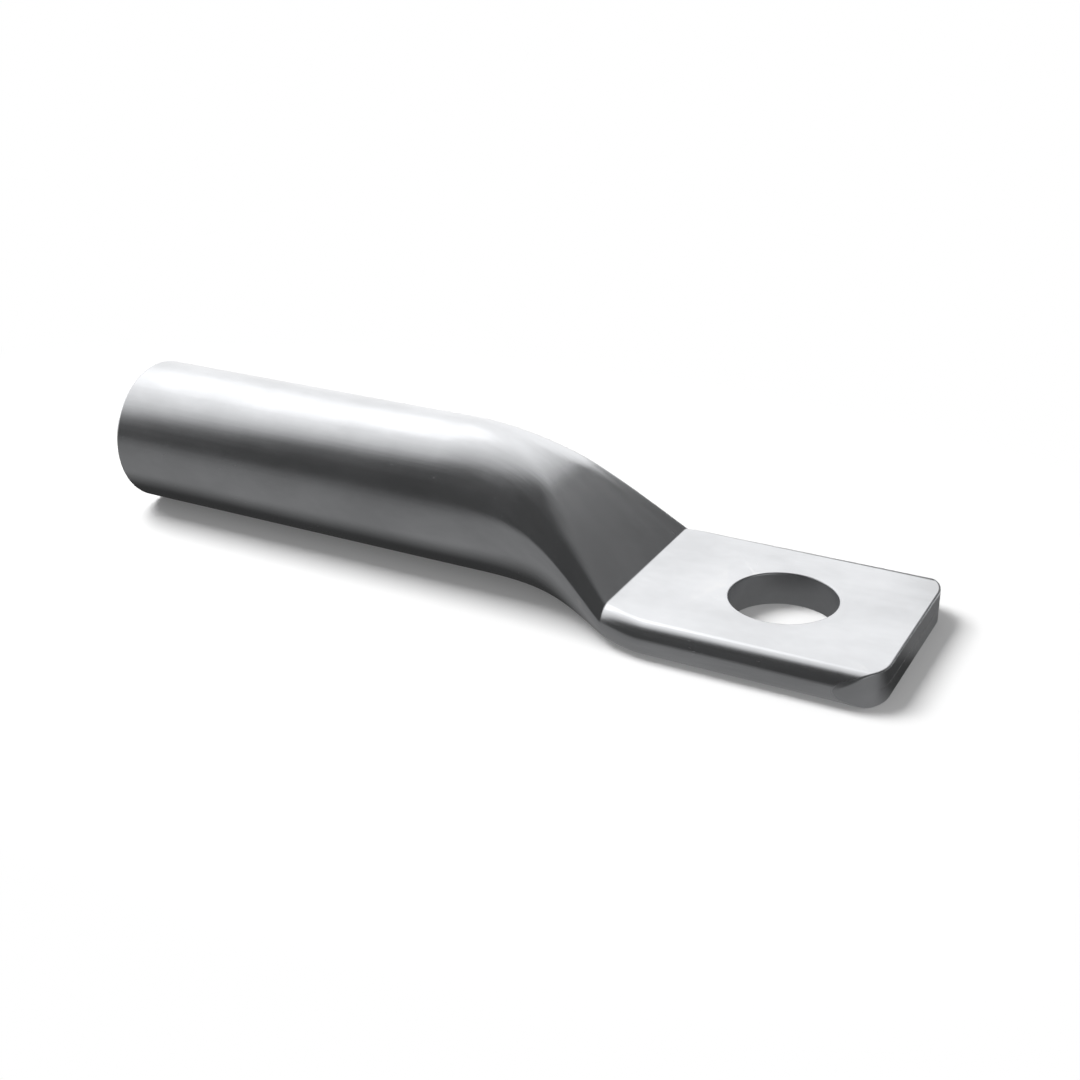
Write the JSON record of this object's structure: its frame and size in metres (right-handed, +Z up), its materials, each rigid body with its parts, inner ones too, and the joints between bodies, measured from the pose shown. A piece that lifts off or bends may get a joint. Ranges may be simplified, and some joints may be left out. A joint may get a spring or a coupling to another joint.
{
  "type": "tubular cable lug",
  "caption": "Aluminium tubular cable lug: a round barrel for a stranded conductor, pressed flat at its far end into a palm with a stud hole.",
  "frame": {"origin": "middle of the lug's length and width, on the plane of its flat underside", "axes": "+X along the barrel from the open mouth towards the palm's cut end, +Z up from the underside through the palm"},
  "size_m": [0.0912, 0.024, 0.016],
  "materials": {
    "aluminium": "bright drawn tube, pressed"
  },
  "bodies": {
    "root": {"tubular_lug": "aluminium"}
  },
  "joints": []
}
